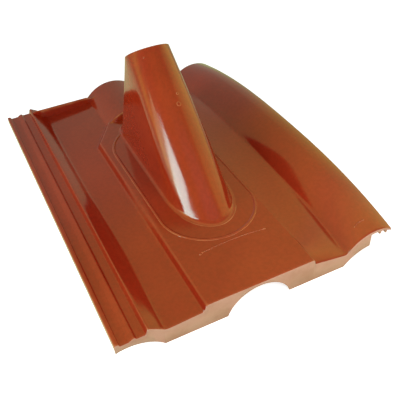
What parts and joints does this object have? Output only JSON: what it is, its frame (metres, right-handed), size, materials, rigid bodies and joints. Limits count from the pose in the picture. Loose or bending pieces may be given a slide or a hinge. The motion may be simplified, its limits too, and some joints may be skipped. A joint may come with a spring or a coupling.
{
  "type": "roof vent tile",
  "caption": "Moulded interlocking roof tile with a leaning tapered hood that carries a pipe or vent through the roof, water lock ribs on the left and a bowed cover roll on the right.",
  "frame": {"origin": "middle of the overall box, at its lowest level, where the front skirt and the batten lugs stand", "axes": "+X from the water lock to the cover roll, +Y up the roof from the front edge to the back edge, +Z out of the roof"},
  "size_m": [0.304, 0.42, 0.1656],
  "materials": {
    "shell": "gloss brick red"
  },
  "bodies": {
    "root": {"vent_tile": "shell"}
  },
  "joints": []
}
